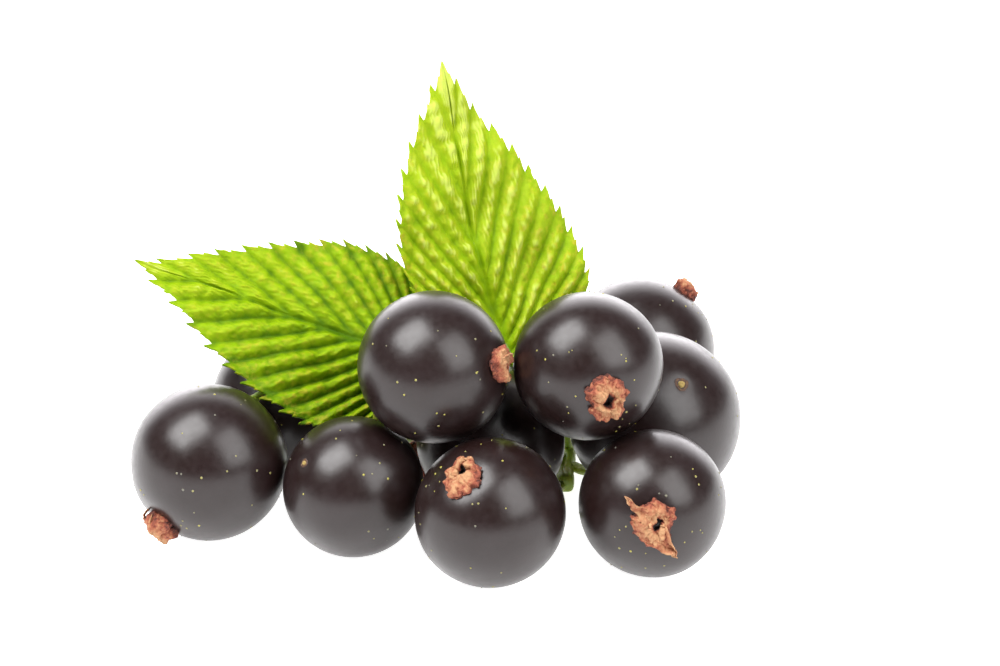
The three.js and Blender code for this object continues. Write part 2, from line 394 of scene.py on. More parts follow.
# The two berries that have dropped off their stalks, and which way the scar on each points.
LOOSE_SCARS = {"front_left": (-0.69, -0.42, 0.59), "right": (0.29, -0.62, 0.73)}
LUMPS = (2.6, 0.006)  # unevenness of the skin, in shares of its radius: (wavelength, height)
FINE_LUMPS = (1.1, 0.0022)
SEAT_DEPTH = 0.22 * MM  # how far the skin sinks round the dried flower
SEAT_SPREAD = 1.7 * MM
DIMPLE_DEPTH = 0.4 * MM  # at a stalk
SCAR_DIMPLE_DEPTH = 0.1 * MM  # where the stalk has dropped off
DIMPLE_SPREAD = 0.7 * MM
BERRY_GRID = (96, 128)  # rows and columns of the skin
GLANDS_ALL_OVER = 38
GLANDS_NEAR_FLOWER = 22
GLAND_SPREAD = 0.36  # of those near the flower, in berry radii
FLOWER_COSINE = 0.93  # of the angle that the flower covers, where no gland shows
GLAND_RADII = (0.06, 0.13)  # smallest and largest, in millimetres
GLAND_SIDES = 8
FLOOR_GAP = 0.01 * MM  # between the flat under a berry and the table


class Berry:
    """Where a berry is, and which way its dried flower and its stalk end point."""

    def __init__(self, name):
        self.name = name
        self.seed = BERRIES.index(name) + 11
        self.middle, self.radius = ball_of(f"berry_{name}")
        self.flower = unit(node_points(f"calyx_{name}").mean(axis=0) - self.middle)
        if name in LOOSE_SCARS:
            self.stalk = unit(LOOSE_SCARS[name])
        else:
            points = node_points(f"pedicel_{name}")
            away = np.linalg.norm(points - self.middle, axis=1)
            nearest = points[away < away.min() + 0.4 * MM]
            self.stalk = unit(nearest.mean(axis=0) - self.middle)

    def surface(self, directions):
        """The skin's points in these directions from the berry's middle."""
        lumps = Waves(self.seed, LUMPS[0])(directions) * LUMPS[1]
        lumps += Waves(self.seed + 50, FINE_LUMPS[0])(directions) * FINE_LUMPS[1]
        from_flower = np.arccos(np.clip(directions @ self.flower, -1.0, 1.0)) * self.radius
        from_stalk = np.arccos(np.clip(directions @ self.stalk, -1.0, 1.0)) * self.radius
        seat = SEAT_DEPTH * np.exp(-((from_flower / SEAT_SPREAD) ** 2))
        hollow = SCAR_DIMPLE_DEPTH if self.name in LOOSE_SCARS else DIMPLE_DEPTH
        dimple = hollow * np.exp(-((from_stalk / DIMPLE_SPREAD) ** 2))
        radii = self.radius * (1.0 + lumps) - seat - dimple
        points = self.middle + directions * radii[:, None]
        points[:, 2] = np.maximum(points[:, 2], FLOOR_GAP)
        return points


def ball_directions(axis, rows, columns):
    """Directions all over a ball, row by row from axis to the far pole."""
    first, second = across_pair(axis)
    pole_gap = 0.002
    polar = np.linspace(pole_gap, math.pi - pole_gap, rows)
    around = np.linspace(0.0, 2.0 * math.pi, columns, endpoint=False)
    polar, around = np.meshgrid(polar, around, indexing="ij")
    ring = np.cos(around)[..., None] * first + np.sin(around)[..., None] * second
    return (np.cos(polar)[..., None] * axis + np.sin(polar)[..., None] * ring).reshape(-1, 3)


def gland_spots(berry, rng):
    """Directions of the glands: sparse all over, and closer together around the dried flower."""
    spread = rng.normal(size=(GLANDS_ALL_OVER, 3))
    near = berry.flower + GLAND_SPREAD * rng.normal(size=(GLANDS_NEAR_FLOWER, 3))
    spots = np.vstack([spread, near])
    spots /= np.linalg.norm(spots, axis=1)[:, None]
    under_flower = spots @ berry.flower >= FLOWER_COSINE
    return spots[~under_flower]


def gland_bumps(berry, first_point):
    """Points and faces of a berry's glands, low bumps on the skin, with points numbered from first_point."""
    rng = np.random.default_rng(berry.seed + 200)
    turn = np.linspace(0.0, 2.0 * math.pi, GLAND_SIDES, endpoint=False)
    points, faces = [], []
    count = first_point
    for spot in gland_spots(berry, rng):
        size = rng.uniform(*GLAND_RADII) * MM
        foot = berry.surface(spot[None, :])[0]
        first, second = across_pair(spot)
        circle = np.cos(turn)[:, None] * first + np.sin(turn)[:, None] * second
        rim = foot + size * circle - 0.02 * MM * spot
        inner = foot + 0.6 * (rim - foot) + 0.045 * MM * spot
        top = foot + 0.06 * MM * spot
        points.append(np.vstack([rim, inner, top]))
        faces += grid_faces(2, GLAND_SIDES, wraps=True, first=count)
        inner_ring = count + GLAND_SIDES
        top_point = inner_ring + GLAND_SIDES
        for i in range(GLAND_SIDES):
            faces.append((inner_ring + i, inner_ring + (i + 1) % GLAND_SIDES, top_point))
        count = top_point + 1
    return points, faces


def build_berry(berry):
    """A berry's skin, with its glands as small bumps of another material."""
    rows, columns = BERRY_GRID
    skin = berry.surface(ball_directions(berry.flower, rows, columns))
    skin_faces = grid_faces(rows, columns, wraps=True)
    skin_faces.append(tuple(reversed(range(columns))))
    skin_faces.append(tuple(range((rows - 1) * columns, rows * columns)))
    bumps, bump_faces = gland_bumps(berry, len(skin))
    kinds = [0] * len(skin_faces) + [1] * len(bump_faces)
    points = np.vstack([skin, *bumps])
    make_piece(f"skin_{berry.name}", points, skin_faces + bump_faces, [SKIN, GLAND],
               [f"berry_{berry.name}"], face_materials=kinds)


# ---- Dried flowers -------------------------------------------------------------------------------
FLAP_GRID = (13, 7)
CAP_GRID = (40, 112)
# The cap from the bottom of its hole over its top to the skin: (radius, height) in millimetres, and a shade.
# The shades below 0, down in the hole, are painted shade.
CAP_PROFILE = (
    (0.05, -0.3, -0.5),
    (0.26, -0.2, -0.4),
    (0.3, 0.4, 0.0),
    (0.5, 0.76, 1.0),
    (0.8, 0.72, 0.88),
    (1.15, 0.62, 0.62),
    (1.5, 0.42, 0.46),
    (1.66, 0.12, 0.38),
    (1.55, -0.15, 0.2),
)
# How the rim of the cap strays: (lobes around it, share of its radius).
CAP_LOBES = ((5.0, 0.06), (3.0, 0.05), (8.0, 0.05), (17.0, 0.03))
# The creases of a dried flower, from coarse to fine: (seed, width, depth).
CREASES = ((500, 1.8 * MM, 0.11 * MM), (510, 0.75 * MM, 0.07 * MM), (520, 0.32 * MM, 0.025 * MM))
USUAL_CREASE = 0.7
FLAP_ROOT = 0.7 * MM  # how far from the flower's middle a flap starts
FLAP_HEIGHT = 0.35 * MM  # above the skin
FLOWER_THICKNESS = 0.06 * MM


def sepal_strip(rng, first, second, axis, turn, length, width, root_radius, flare, curl):
    """Points and shades of a withered lobe: a narrow sheet that opens by flare and curls by curl."""
    rows, columns = FLAP_GRID
    out = math.cos(turn) * first + math.sin(turn) * second
    side = -math.sin(turn) * first + math.cos(turn) * second
    points, shades = [], []
    place = out * root_radius
    angle = flare
    step = length / (rows - 1)
    sway = rng.uniform(-0.35, 0.35)
    fold = rng.uniform(0.25, 0.6)
    for row in range(rows):
        share = row / (rows - 1)
        half = 0.5 * width * (1.0 - share) ** 0.8
        rise = math.cos(angle) * axis + math.sin(angle) * out
        normal = math.cos(angle) * out - math.sin(angle) * axis
        for column in range(columns):
            across = 2.0 * column / (columns - 1) - 1.0
            crease = fold * half * (across**2 - 0.4)
            wave = 0.05 * MM * math.sin(9.0 * share + 3.0 * across + 5.0 * sway)
            sideways = half * across + sway * share * share * length
            points.append(place + side * sideways - normal * (crease - wave))
            shades.append(0.3 + 0.55 * share + 0.25 * abs(across) + rng.uniform(-0.06, 0.06))
        place = place + rise * step
        angle += curl * step / length
    return np.array(points), shades


def cap_grid(rng, root, axis, scale, lift, hole):
    """Points and shades of the crumpled cap of a dried flower, row by row from its hole to its rim."""
    first, second = across_pair(axis)
    rows, columns = CAP_GRID
    radii, heights, tones = zip(*CAP_PROFILE)
    stops = np.linspace(0.0, 1.0, len(CAP_PROFILE))
    around = np.linspace(0.0, 2.0 * math.pi, columns, endpoint=False)
    level, turn = np.meshgrid(np.linspace(0.0, 1.0, rows), around, indexing="ij")
    level, turn = level.ravel(), turn.ravel()
    wander = rng.uniform(0.0, 2.0 * math.pi, size=len(CAP_LOBES))
    ragged = sum(amount * np.cos(lobes * turn + start) for (lobes, amount), start in zip(CAP_LOBES, wander))
    radius = np.interp(level, stops, radii) * (1.0 + ragged * smoothstep(0.2, 0.9, level))
    height = np.interp(level, stops, heights) * lift
    near_hole = 1.0 - smoothstep(0.35, 0.9, level)
    side = radius * np.cos(turn) + hole[0] * near_hole
    over = radius * np.sin(turn) * (1.0 + 0.8 * near_hole) + hole[1] * near_hole
    points = root + scale * MM * (side[:, None] * first + over[:, None] * second + height[:, None] * axis)
    return points, np.interp(level, stops, tones)


def build_flower(berry, scale=1.0, lift=1.0, hole=(0.2, -0.2), flaps=(), nudge=(0.0, 0.0)):
    """The dried flower at a berry's end: a crumpled cap with a sunken hole in painted shade, and loose
    pointed flaps.

    scale is its size and lift its height against the usual one. hole is where its hole lies, in millimetres.
    Each flap is (turn around the flower, length, width, opening angle, curl), in radians and millimetres.
    nudge turns the flower a little to the side and up over the berry, in radians.
    """
    rng = np.random.default_rng(berry.seed + 400)
    first, second = across_pair(berry.flower)
    axis = unit(berry.flower + nudge[0] * first + nudge[1] * second)
    first, second = across_pair(axis)
    root = berry.surface(axis[None, :])[0]
    cap, cap_shades = cap_grid(rng, root, axis, scale, lift, hole)
    faces = grid_faces(*CAP_GRID, wraps=True)
    faces.append(tuple(reversed(range(CAP_GRID[1]))))
    all_points, all_shades = [cap], [cap_shades]
    count = len(cap)
    for flap_turn, length, width, opening, curl in flaps:
        strip, strip_shades = sepal_strip(rng, first, second, axis, flap_turn, length * MM, width * MM,
                                          scale * FLAP_ROOT, opening, curl)
        all_points.append(root + lift * scale * FLAP_HEIGHT * axis + strip)
        all_shades.append(np.array(strip_shades))
        faces += grid_faces(*FLAP_GRID, first=count)
        count += len(strip)
    points = np.vstack(all_points)
    shades = np.concatenate(all_shades)
    for seed, size, depth in CREASES:
        push = np.column_stack([Waves(berry.seed + seed + k, size)(points) for k in range(3)])
        crease = np.abs(Waves(berry.seed + seed + 4, size)(points)) - USUAL_CREASE
        points = points + scale * depth * (push + crease[:, None] * axis)
        # Painted light and shade: the shade rises where a crease lifts the cap and falls where it sinks it.
        shades = shades + 0.14 * crease
    points[:, 2] = np.maximum(points[:, 2], 0.06 * MM)
    piece = make_piece(f"flower_{berry.name}", points, faces, [DRIED],
                       [f"calyx_{berry.name}"], shades=shades)
    thickness = piece.modifiers.new("thickness", "SOLIDIFY")
    thickness.thickness = FLOWER_THICKNESS
    thickness.offset = 0.0


# ---- Scars where two berries came off their stalks -----------------------------------------------
# From the skin over the rim to the stub: (radius, height) in shares of the scar's radius, and a shade.
SCAR_PROFILE = (
    (1.5, -0.25, 0.1),
    (1.2, 0.05, 0.2),
    (1.0, 0.22, 0.35),
    (0.85, 0.2, 0.45),
    (0.7, 0.02, 0.3),
    (0.6, 0.02, 0.6),
    (0.5, 0.3, 0.95),
    (0.3, 0.42, 1.0),
    (0.02, 0.3, 0.8),
)
SCAR_SIDES = 28


def build_scar(berry, radius):
    """A shallow pit with a raised rim and a stub of stalk in it."""
    first, second = across_pair(berry.stalk)
    root = berry.surface(berry.stalk[None, :])[0]
    points, shades = [], []
    for share, height, shade in SCAR_PROFILE:
        for i in range(SCAR_SIDES):
            turn = 2.0 * math.pi * i / SCAR_SIDES
            ragged = 1.0 + 0.09 * math.sin(3.0 * turn + 1.0) + 0.05 * math.sin(8.0 * turn)
            spread = share * ragged * (math.cos(turn) * first + math.sin(turn) * second)
            points.append(root + radius * (spread + height * berry.stalk))
            shades.append(shade + 0.08 * math.sin(6.0 * turn + 2.0))
    faces = grid_faces(len(SCAR_PROFILE), SCAR_SIDES, wraps=True)
    make_piece(f"scar_{berry.name}", points, faces, [SCAR], shades=shades)


# ---- Stalks --------------------------------------------------------------------------------------
STALK_RADII = {"pedicel": 0.35 * MM, "petiole": 0.55 * MM, "strig": 0.7 * MM}
STALK_BUMPS = 0.12 * MM
# A swelling at the end of a stalk. Before the end: (distance, radius), both in shares of the stalk's radius.
# Past the end: (distance in metres, radius as a share).
SWELLING_START = ((-3.0, 0.05), (-2.8, 0.8), (-1.6, 1.08), (-0.4, 1.3))
SWELLING_END = ((0.4 * MM, 1.35), (0.75 * MM, 1.2), (0.9 * MM, 0.5), (0.92 * MM, 0.05))
SWELLING_SIDES = 20


def round_off(piece, levels):
    """Smooth a piece by subdivision."""
    smoother = piece.modifiers.new("round", "SUBSURF")
    smoother.levels = levels
    smoother.render_levels = levels


def build_stalk(node):
    """A stalk: the CAD node's route made round and smooth, with a slightly knobbly surface."""
    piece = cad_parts[node].copy()
    piece.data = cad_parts[node].data.copy()
    piece.parent = None
    piece.name = f"stalk_{node}"
    piece.data.materials.clear()
    piece.data.materials.append(STALK)
    scene.collection.objects.link(piece)
    piece.hide_render = False
    piece.hide_viewport = False
    weld = piece.modifiers.new("weld", "WELD")
    weld.merge_threshold = 0.01 * MM
    round_off(piece, 2)
    texture = bpy.data.textures.new(f"knobs_{node}", "CLOUDS")
    texture.noise_scale = 1.2 * MM
    knobs = piece.modifiers.new("knobs", "DISPLACE")
    knobs.texture = texture
    knobs.texture_coords = "LOCAL"
    knobs.strength = STALK_BUMPS
    knobs.mid_level = 0.4
    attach(piece, BODY)
    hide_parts(node)
    piece.data.polygons.foreach_set("use_smooth", np.ones(len(piece.data.polygons), dtype=bool))


def stalk_ends(node, radius):
    """Both ends of a stalk: (middle of the end, the way out of it)."""
    points = node_points(node)
    one = points[np.argmax(np.linalg.norm(points - points.mean(axis=0), axis=1))]
    other = points[np.argmax(np.linalg.norm(points - one, axis=1))]
    ends = []
    for corner in (one, other):
        away = np.linalg.norm(points - corner, axis=1)
        near_end = away < 2.2 * radius
        last_stretch = away < 8.0 * radius
        outward = unit(points[near_end].mean(axis=0) - points[last_stretch].mean(axis=0))
        level = points @ outward
        rim = points[near_end & (level > corner @ outward - 0.3 * radius)]
        ends.append((rim.mean(axis=0), outward))
    return ends


def turned(foot, axis, profile, sides, wobble):
    """Points and faces of a closed round body. profile is (distance along axis, radius), from end to end.

    wobble gives the share by which each of its points moves away from the axis.
    """
    first, second = across_pair(axis)
    turn = np.linspace(0.0, 2.0 * math.pi, sides, endpoint=False)
    rings = []
    for step, radius in profile:
        ring = np.cos(turn)[:, None] * first + np.sin(turn)[:, None] * second
        rings.append(foot + step * axis + radius * ring)
    points = np.vstack(rings)
    outward = points - (foot + ((points - foot) @ axis)[:, None] * axis)
    points = points + outward * wobble(points)[:, None]
    faces = grid_faces(len(profile), sides, wraps=True)
    faces.append(tuple(reversed(range(sides))))
    faces.append(tuple(range((len(profile) - 1) * sides, len(profile) * sides)))
    return points, faces


def build_joints(node, radius):
    """A swelling at each end of a stalk, where it has grown together with what it comes from or carries."""
    profile = [(step * radius, share * radius) for step, share in SWELLING_START]
    profile += [(step, share * radius) for step, share in SWELLING_END]
    for number, (foot, outward) in enumerate(stalk_ends(node, radius)):
        lumps = Waves(len(node) + number, 1.2 * MM)
        points, faces = turned(foot, outward, profile, SWELLING_SIDES, lambda spots: 0.09 * lumps(spots))
        points[:, 2] = np.maximum(points[:, 2], 0.05 * MM)
        piece = make_piece(f"joint_{node}_{number}", points, faces, [STALK])
        round_off(piece, 1)


# ---- The woody spur ------------------------------------------------------------------------------
SPUR_RADIUS = 1.42 * MM  # of the bark before its rings and furrows
SPUR_ROWS = 90
SPUR_SIDES = 48
RING_SCARS = (-0.72, -0.66, -0.1, -0.04, 0.02, 0.6)  # from one end (-1) to the other (1)
RING_HEIGHT = 0.1  # as a share of the radius
RING_WIDTH = 0.018
CUT_SHARES = (0.985, 0.9, 0.8, 0.6, 0.4, 0.2, 0.1, 0.02)  # rings of a cut end, from its bark to its pith
BUD_SIDES = 24
# A bud from its foot to its point: (distance, radius) in millimetres, and a shade.
BUD_PROFILE = (
    (-0.4, 0.1, 0.2),
    (-0.3, 0.5, 0.3),
    (0.2, 0.8, 0.45),
    (0.8, 0.86, 0.55),
    (1.4, 0.7, 0.6),
    (2.1, 0.42, 0.7),
    (2.6, 0.15, 0.8),
    (2.8, 0.02, 0.8),
)


def spur_line():
    """(middle, axis, half-length) of the spur, with its axis towards +X."""
    points = node_points("spur")
    middle = points.mean(axis=0)
    axis = np.linalg.svd(points - middle, full_matrices=False)[2][0]
    axis = axis if axis[0] > 0.0 else -axis
    along = (points - middle) @ axis
    middle = middle + 0.5 * axis * float(along.max() + along.min())
    return middle, axis, 0.5 * float(np.ptp(along))


def build_bark(middle, axis, reach, furrows):
    """Ringed and furrowed bark from end to end of the spur. Gives back its points, ring by ring."""
    profile = []
    for row in range(SPUR_ROWS):
        along = -1.0 + 2.0 * row / (SPUR_ROWS - 1)
        rings = sum(RING_HEIGHT * math.exp(-(((along - at) / RING_WIDTH) ** 2)) for at in RING_SCARS)
        edge = 1.0 - 0.05 * smoothstep(0.97, 1.0, abs(along))
        profile.append((along * reach, SPUR_RADIUS * (1.0 + rings) * edge))
    lumps = Waves(71, 3.0 * MM)
    bark, faces = turned(middle, axis, profile, SPUR_SIDES,
                         lambda spots: 0.05 * lumps(spots) + 0.035 * furrows(spots))
    bark[:, 2] = np.maximum(bark[:, 2], 0.03 * MM)
    make_piece("stem_spur", bark, faces, [BARK], ["spur"])
    return bark


def build_cut_end(number, side, rim, axis):
    """The clean cut inside rim: a slightly domed disc of wood and pith that faces along side * axis."""
    centre = rim.mean(axis=0)
    rings = []
    for share in CUT_SHARES:
        bulge = 0.05 * MM * math.sqrt(1.0 - share)
        rings.append(centre + share * (rim - centre) + side * (0.02 * MM + bulge) * axis)
    faces = grid_faces(len(CUT_SHARES), SPUR_SIDES, wraps=True)
    faces.append(tuple(range((len(CUT_SHARES) - 1) * SPUR_SIDES, len(CUT_SHARES) * SPUR_SIDES)))
    if side < 0.0:
        faces = [tuple(reversed(face)) for face in faces]
    shades = np.repeat(CUT_SHARES, SPUR_SIDES)
    make_piece(f"cut_end_{number}", np.vstack(rings), faces, [WOOD], shades=shades)


def build_bud(middle, axis, reach, furrows):
    """A bud on the upper back of the spur, about halfway from its middle to its left end."""
    up_and_back = np.array([0.0, 0.6, 0.8])
    lean = unit(-0.5 * axis + up_and_back)
    foot = middle - 0.45 * reach * axis + 1.3 * MM * unit(up_and_back)
    profile = [(step * MM, radius * MM) for step, radius, _ in BUD_PROFILE]
    points, faces = turned(foot, lean, profile, BUD_SIDES, lambda spots: 0.06 * furrows(spots))
    shades = np.repeat([shade for _, _, shade in BUD_PROFILE], BUD_SIDES)
    bud = make_piece("bud", points, faces, [DRIED], shades=shades)
    round_off(bud, 2)


def build_spur():
    """The woody stem: ringed bark, a clean cut at each end and a bud."""
    middle, axis, reach = spur_line()
    furrows = Waves(72, 0.7 * MM)
    bark = build_bark(middle, axis, reach, furrows)
    build_cut_end(0, -1.0, bark[:SPUR_SIDES], axis)
    build_cut_end(1, 1.0, bark[-SPUR_SIDES:], axis)
    build_bud(middle, axis, reach, furrows)


# ---- Leaves --------------------------------------------------------------------------------------
VEINS = 14  # bands between side veins, on each side of a blade
ROWS_PER_VEIN = 20
BLADE_COLUMNS = 64  # from the midrib out to the margin
BLADE_THICKNESS = 0.18 * MM
DRAWN_OUT_TIP = 0.8 * MM  # how far the blade's point reaches past the CAD tip
VEIN_SLANT = 1.12  # how much later a side vein ends, towards the tip, than its share of the blade
TOOTH_DEPTH = 0.7 * MM
MIDRIB_GROOVE = 0.14 * MM
RIPPLE_LENGTH = 0.85 * MM
RIPPLE_HEIGHT = 0.035 * MM
CRINKLE_HEIGHT = 0.05 * MM
FINE_CRINKLE_HEIGHT = 0.035 * MM
WAVINESS = 0.2 * MM
CUP = 0.8 * MM  # how far the margins rise above the midrib
VEIN_SIDES = 6
VEIN_SINK = 0.19 * MM  # how far a raised vein's middle lies below the sheet
MIDRIB_RADII = (0.34 * MM, 0.07 * MM)
SIDE_VEIN_RADII = (0.15 * MM, 0.04 * MM)


class Half:
    """One side of a blade: its width and pleat height in millimetres, and the powers of its outline."""

    def __init__(self, width, rise, fall, pleat, paleness):
        self.width = width * MM
        self.rise = rise
        self.fall = fall
        self.pleat = pleat * MM
        self.paleness = paleness
        widest = rise / (rise + fall)
        self.peak = widest**rise * (1.0 - widest) ** fall

    def outline(self, share):
        return self.width * share**self.rise * (1.0 - share) ** self.fall / self.peak


class Leaf:
    """A blade between its CAD base and tip: its own directions, and what bends and crumples it.

    aim is roughly from base to tip, and facing is the way that its top looks. fan bunches the starts of the
    side veins towards the base, bow bends the midrib sideways and droop lowers the tip.
    """

    def __init__(self, name, aim, facing, halves, fan, bow, droop, seed):
        self.name = name
        self.halves = halves
        self.fan = fan
        self.bow = bow
        self.droop = droop
        points = node_points(f"leaf_{name}")
        level = points @ unit(aim)
        self.base = points[level < level.min() + 0.05 * MM].mean(axis=0)
        tip = points[level > level.max() - 0.05 * MM].mean(axis=0)
        self.along = unit(tip - self.base)
        self.across = unit(np.cross(facing, self.along))
        self.upward = np.cross(self.along, self.across)
        self.length = float(np.linalg.norm(tip - self.base)) + DRAWN_OUT_TIP
        self.crinkle = Waves(seed, 1.3 * MM)
        self.fine = Waves(seed + 1, 0.55 * MM)
        self.patches = Waves(seed + 2, 6.0 * MM)

    def half_grid(self, side, half):
        """Points, shades and tints of one half. Its rows run out along the side veins, from base to tip."""
        row_share, out = np.meshgrid(
            np.linspace(0.0, 1.0, ROWS_PER_VEIN * VEINS + 1),
            np.linspace(0.0, 1.0, BLADE_COLUMNS),
            indexing="ij",
        )
        row_share, out = row_share.ravel(), out.ravel()
        place = VEINS * row_share
        phase = place - np.floor(place)
        small_phase = 2.0 * place - np.floor(2.0 * place)

        midrib = self.length * row_share**self.fan
        margin_x = self.length * row_share**VEIN_SLANT
        margin_y = half.outline(row_share**VEIN_SLANT)
        reach = np.hypot(margin_x - midrib, margin_y) + 0.001 * MM
        depth = np.minimum(TOOTH_DEPTH, 0.4 * reach)
        tooth = 0.7 * phase**1.6 + 0.4 * small_phase**1.6 - 0.5
        run = out * (1.0 + depth * tooth / reach)
        x = midrib + (margin_x - midrib) * run - 0.12 * reach * run * (1.0 - run)
        y = margin_y * run
        flat = np.column_stack([x, side * y, np.zeros_like(x)])
        level = x / self.length

        wide = np.minimum(1.0, reach / (4.0 * MM))
        fade = smoothstep(0.0, 0.15, out) * (1.0 - 0.5 * smoothstep(0.8, 1.0, out))
        body = np.sin(math.pi * phase) ** 1.2 * fade
        wrinkle = self.crinkle(flat)
        ripple_turn = 2.0 * math.pi * run * reach / RIPPLE_LENGTH
        ripple = np.sin(ripple_turn + 1.7 * np.floor(place) + 1.6 * wrinkle)
        rough = wide * smoothstep(0.0, 0.05, out) * (0.25 + 0.75 * body)
        crumple = RIPPLE_HEIGHT * ripple + CRINKLE_HEIGHT * wrinkle + FINE_CRINKLE_HEIGHT * self.fine(flat)
        groove = (1.0 - smoothstep(0.0, 0.07, out)) * (1.0 - smoothstep(0.35, 0.75, level))
        height = half.pleat * wide * body + rough * crumple - MIDRIB_GROOVE * groove
        sheet = CUP * (y / half.width) ** 2 - self.droop * level**2 + WAVINESS * self.patches(flat)
        shift = self.bow * np.sin(math.pi * np.clip(level, 0.0, 1.0) ** 0.7)
        sideways = (side * y + shift)[:, None] * self.across
        points = self.base + x[:, None] * self.along + sideways + (height + sheet)[:, None] * self.upward

        # Painted light and shade: body, ripple and wrinkle make the pleat tops and crinkle bumps paler and
        # the furrows darker; paleness and the level term are the blade's own tone, paler to the tip.
        shades = half.paleness + 0.5 * body + 0.1 * ripple * body + 0.07 * wrinkle + 0.5 * level**3
        fringe = 0.6 * smoothstep(0.9, 1.0, out) * (1.0 - level)
        tan = 0.75 * (0.1 + 0.9 * body) * (0.1 + 0.9 * out) * (1.1 - level)
        return points, shades, np.clip(tan + fringe, 0.0, 1.0)


def vein_tube(path, radii, upward):
    """Points and faces of a thin tube along path, a little below the sheet that it runs under."""
    forward = np.gradient(path, axis=0)
    forward /= np.linalg.norm(forward, axis=1)[:, None]
    across = np.cross(forward, upward)
    across /= np.linalg.norm(across, axis=1)[:, None]
    turn = np.linspace(0.0, 2.0 * math.pi, VEIN_SIDES, endpoint=False)
    rings = []
    for spot, side, radius in zip(path, across, radii):
        ring = np.cos(turn)[:, None] * side + np.sin(turn)[:, None] * upward
        rings.append(spot - VEIN_SINK * upward + radius * ring)
    faces = grid_faces(len(path), VEIN_SIDES, wraps=True)
    faces.append(tuple(reversed(range(VEIN_SIDES))))
    faces.append(tuple(range((len(path) - 1) * VEIN_SIDES, len(path) * VEIN_SIDES)))
    return np.vstack(rings), faces


def build_veins(leaf, grids):
    """The raised veins on the underside of a blade: the midrib, and a side vein between every two pleats."""
    paths = [(grids[0][::4, 0], MIDRIB_RADII)]
    for grid in grids:
        for vein in range(1, VEINS):
            paths.append((grid[vein * ROWS_PER_VEIN, :-6:3], SIDE_VEIN_RADII))
    points, faces = [], []
    count = 0
    for path, (thick, thin) in paths:
        steps = np.linalg.norm(np.diff(path, axis=0), axis=1)
        path = path[np.concatenate([[True], steps > 0.02 * MM])]
        tube, tube_faces = vein_tube(path, np.linspace(thick, thin, len(path)), leaf.upward)
        points.append(tube)
        faces += [tuple(corner + count for corner in face) for face in tube_faces]
        count += len(tube)
    make_piece(f"veins_{leaf.name}", np.vstack(points), faces, [UNDERSIDE])


def build_leaf(leaf):
    """A blade of two halves that meet at the midrib: pleated between its veins and toothed at the margin."""
    rows = ROWS_PER_VEIN * VEINS + 1
    points, faces, shades, tints = [], [], [], []
    for side, half in zip((1.0, -1.0), leaf.halves):
        part = grid_faces(rows, BLADE_COLUMNS, first=len(points) * rows * BLADE_COLUMNS)
        if side > 0.0:
            part = [tuple(reversed(face)) for face in part]
        faces += part
        half_points, half_shades, half_tints = leaf.half_grid(side, half)
        points.append(half_points)
        shades.append(half_shades)
        tints.append(half_tints)
    piece = make_piece(f"blade_{leaf.name}", np.vstack(points), faces, [LEAF, UNDERSIDE],
                       [f"leaf_{leaf.name}"], shades=np.concatenate(shades))
    layer = piece.data.attributes.new("tint", "FLOAT", "POINT")
    layer.data.foreach_set("value", np.concatenate(tints).astype(np.float32))
    weld = piece.modifiers.new("weld", "WELD")
    weld.merge_threshold = 0.004 * MM
    thickness = piece.modifiers.new("thickness", "SOLIDIFY")
    thickness.thickness = BLADE_THICKNESS
    thickness.offset = -1.0
    thickness.material_offset = 1
    build_veins(leaf, [half_points.reshape(rows, BLADE_COLUMNS, 3) for half_points in points])


# ---- Build everything ----------------------------------------------------------------------------
berries = {name: Berry(name) for name in BERRIES}
for one in berries.values():
    build_berry(one)

FLOWERS = {
    "front": dict(scale=0.9, hole=(-0.3, 0.35)),
    "front_right": dict(scale=1.0, hole=(0.25, -0.15),
                        flaps=((-1.05, 2.7, 2.0, 1.4, 0.2), (2.3, 2.5, 1.4, 1.35, 0.2))),
    "front_left": dict(scale=0.8),
    "left": dict(scale=0.78, lift=2.1, nudge=(0.04, -0.09),
                 flaps=((2.6, 1.7, 1.2, 1.0, 2.6), (1.7, 1.2, 0.9, 1.2, 1.6))),
    "centre": dict(scale=1.25, lift=1.8),
    "right": dict(),
    "back_left": dict(lift=1.5),
    "back_right": dict(scale=0.6, lift=2.2),
    "top_left": dict(scale=0.85, lift=0.9, nudge=(0.08, 0.0), flaps=((1.6, 1.2, 1.1, 0.3, 0.3),)),
    "top_right": dict(scale=1.0, hole=(0.1, -0.25)),
}
for name, looks in FLOWERS.items():
    build_flower(berries[name], **looks)

build_scar(berries["front_left"], 0.32 * MM)
build_scar(berries["right"], 0.5 * MM)

for node in sorted(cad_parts):
    kind = node.split("_")[0]
    if kind in STALK_RADII:
        build_stalk(node)
        build_joints(node, STALK_RADII[kind])
build_spur()

build_leaf(
    Leaf(
        "left",
        aim=(-0.94, 0.135, 0.312),
        facing=(0.0, -0.707, 0.707),
        halves=(
            # The lower half, the first, is less pale: painted shade, with its deeper pleats.
            Half(8.4, rise=0.5, fall=1.25, pleat=0.55, paleness=-0.04),
            Half(7.4, rise=0.5, fall=1.3, pleat=0.28, paleness=0.07),
        ),
        fan=3.2,
        bow=0.0,
        droop=0.4 * MM,
        seed=3,
    )
)
build_leaf(
    Leaf(
        "upper",
        aim=(-0.237, 0.408, 0.882),
        facing=(0.3, -0.87, 0.4),
        halves=(
            Half(6.5, rise=0.8, fall=1.15, pleat=0.36, paleness=0.33),
            Half(8.4, rise=0.5, fall=1.32, pleat=0.44, paleness=0.33),
        ),
        fan=3.8,
        bow=1.0 * MM,
        droop=0.3 * MM,
        seed=5,
    )
)


# ---- Stage, light and camera ---------------------------------------------------------------------
FLOOR_HALF = 1.5
FLOOR_GLOW = 0.95
LIGHT_DISTANCE = 0.5
VIEW_ELEVATION = math.radians(25.0)
VIEW_DISTANCE = 0.45
AIM_RIGHT = 0.75 * MM  # from the front berry's middle to the point that the camera looks at
AIM_UP = 14.2 * MM


